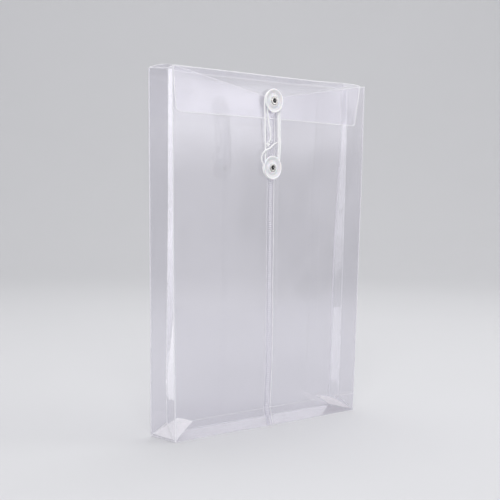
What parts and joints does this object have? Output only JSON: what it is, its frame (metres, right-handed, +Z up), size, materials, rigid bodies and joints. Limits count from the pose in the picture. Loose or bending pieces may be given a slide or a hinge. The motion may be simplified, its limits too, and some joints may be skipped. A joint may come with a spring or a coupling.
{
  "type": "string and button document bag",
  "caption": "Clear standing document bag with folded sides, a hinged top flap and a string wound round riveted buttons.",
  "frame": {"origin": "middle of the underside, where the bag stands", "axes": "+Z up along the bag's height, +X to the right seen from the buttons, -Y out of the front that carries the buttons"},
  "size_m": [0.235, 0.042, 0.335],
  "materials": {
    "clear_film": "clear glossy film with a faint violet grey tint",
    "hazy_film": "film clouded by welding or folding",
    "button_plastic": "smooth white moulded plastic",
    "eyelet_metal": "bright nickel plate",
    "string_yarn": "white braided string"
  },
  "bodies": {
    "bag_body": {"back_panel": "clear_film", "bottom_panel": "clear_film", "left_gusset_back": "clear_film", "left_gusset_front": "clear_film", "left_gusset_foot": "clear_film", "right_gusset_back": "clear_film", "right_gusset_front": "clear_film", "right_gusset_foot": "clear_film", "front_panel_left": "clear_film", "front_panel_right": "clear_film", "front_foot_left": "clear_film", "front_foot_right": "clear_film", "seam_weld_upper": "hazy_film", "seam_weld_lower": "hazy_film", "seam_weld_foot": "hazy_film", "lower_eyelet": "eyelet_metal", "lower_washer": "button_plastic"},
    "spine": {"top_spine": "clear_film"},
    "flap": {"closing_flap": "clear_film", "upper_eyelet": "eyelet_metal", "upper_washer": "button_plastic", "string": "string_yarn", "string_tail": "string_yarn", "string_knot": "string_yarn"},
    "upper_disc": {"upper_button": "button_plastic"},
    "lower_disc": {"lower_button": "button_plastic"},
    "left_end_flap": {"left_dust_flap": "hazy_film"},
    "right_end_flap": {"right_dust_flap": "hazy_film"}
  },
  "joints": [
    {"name": "spine_fold", "type": "hinge", "parent": "bag_body", "child": "spine", "pos_m": [0, 0.01785, 0.33485], "axis": [-1, 0, 0], "range_deg": [0, 180], "deforming": ["string", "string_tail", "string_knot"]},
    {"name": "flap_fold", "type": "hinge", "parent": "spine", "child": "flap", "pos_m": [0, -0.01915, 0.33485], "axis": [-1, 0, 0], "range_deg": [0, 180], "deforming": ["string", "string_tail", "string_knot"]},
    {"name": "upper_button_spin", "type": "hinge", "parent": "flap", "child": "upper_disc", "pos_m": [-0.0047, -0.0213, 0.3113], "axis": [0, -1, 0], "continuous": true},
    {"name": "lower_button_spin", "type": "hinge", "parent": "bag_body", "child": "lower_disc", "pos_m": [-0.0047, -0.02, 0.2486], "axis": [0, -1, 0], "continuous": true},
    {"name": "left_end_flap_fold", "type": "hinge", "parent": "bag_body", "child": "left_end_flap", "pos_m": [-0.1163, 0, 0.00105], "axis": [0, -1, 0], "range_deg": [-27, 40], "stiffness_Nm_per_rad": 0.002},
    {"name": "right_end_flap_fold", "type": "hinge", "parent": "bag_body", "child": "right_end_flap", "pos_m": [0.1163, 0, 0.00105], "axis": [0, 1, 0], "range_deg": [-27, 40], "stiffness_Nm_per_rad": 0.002}
  ]
}
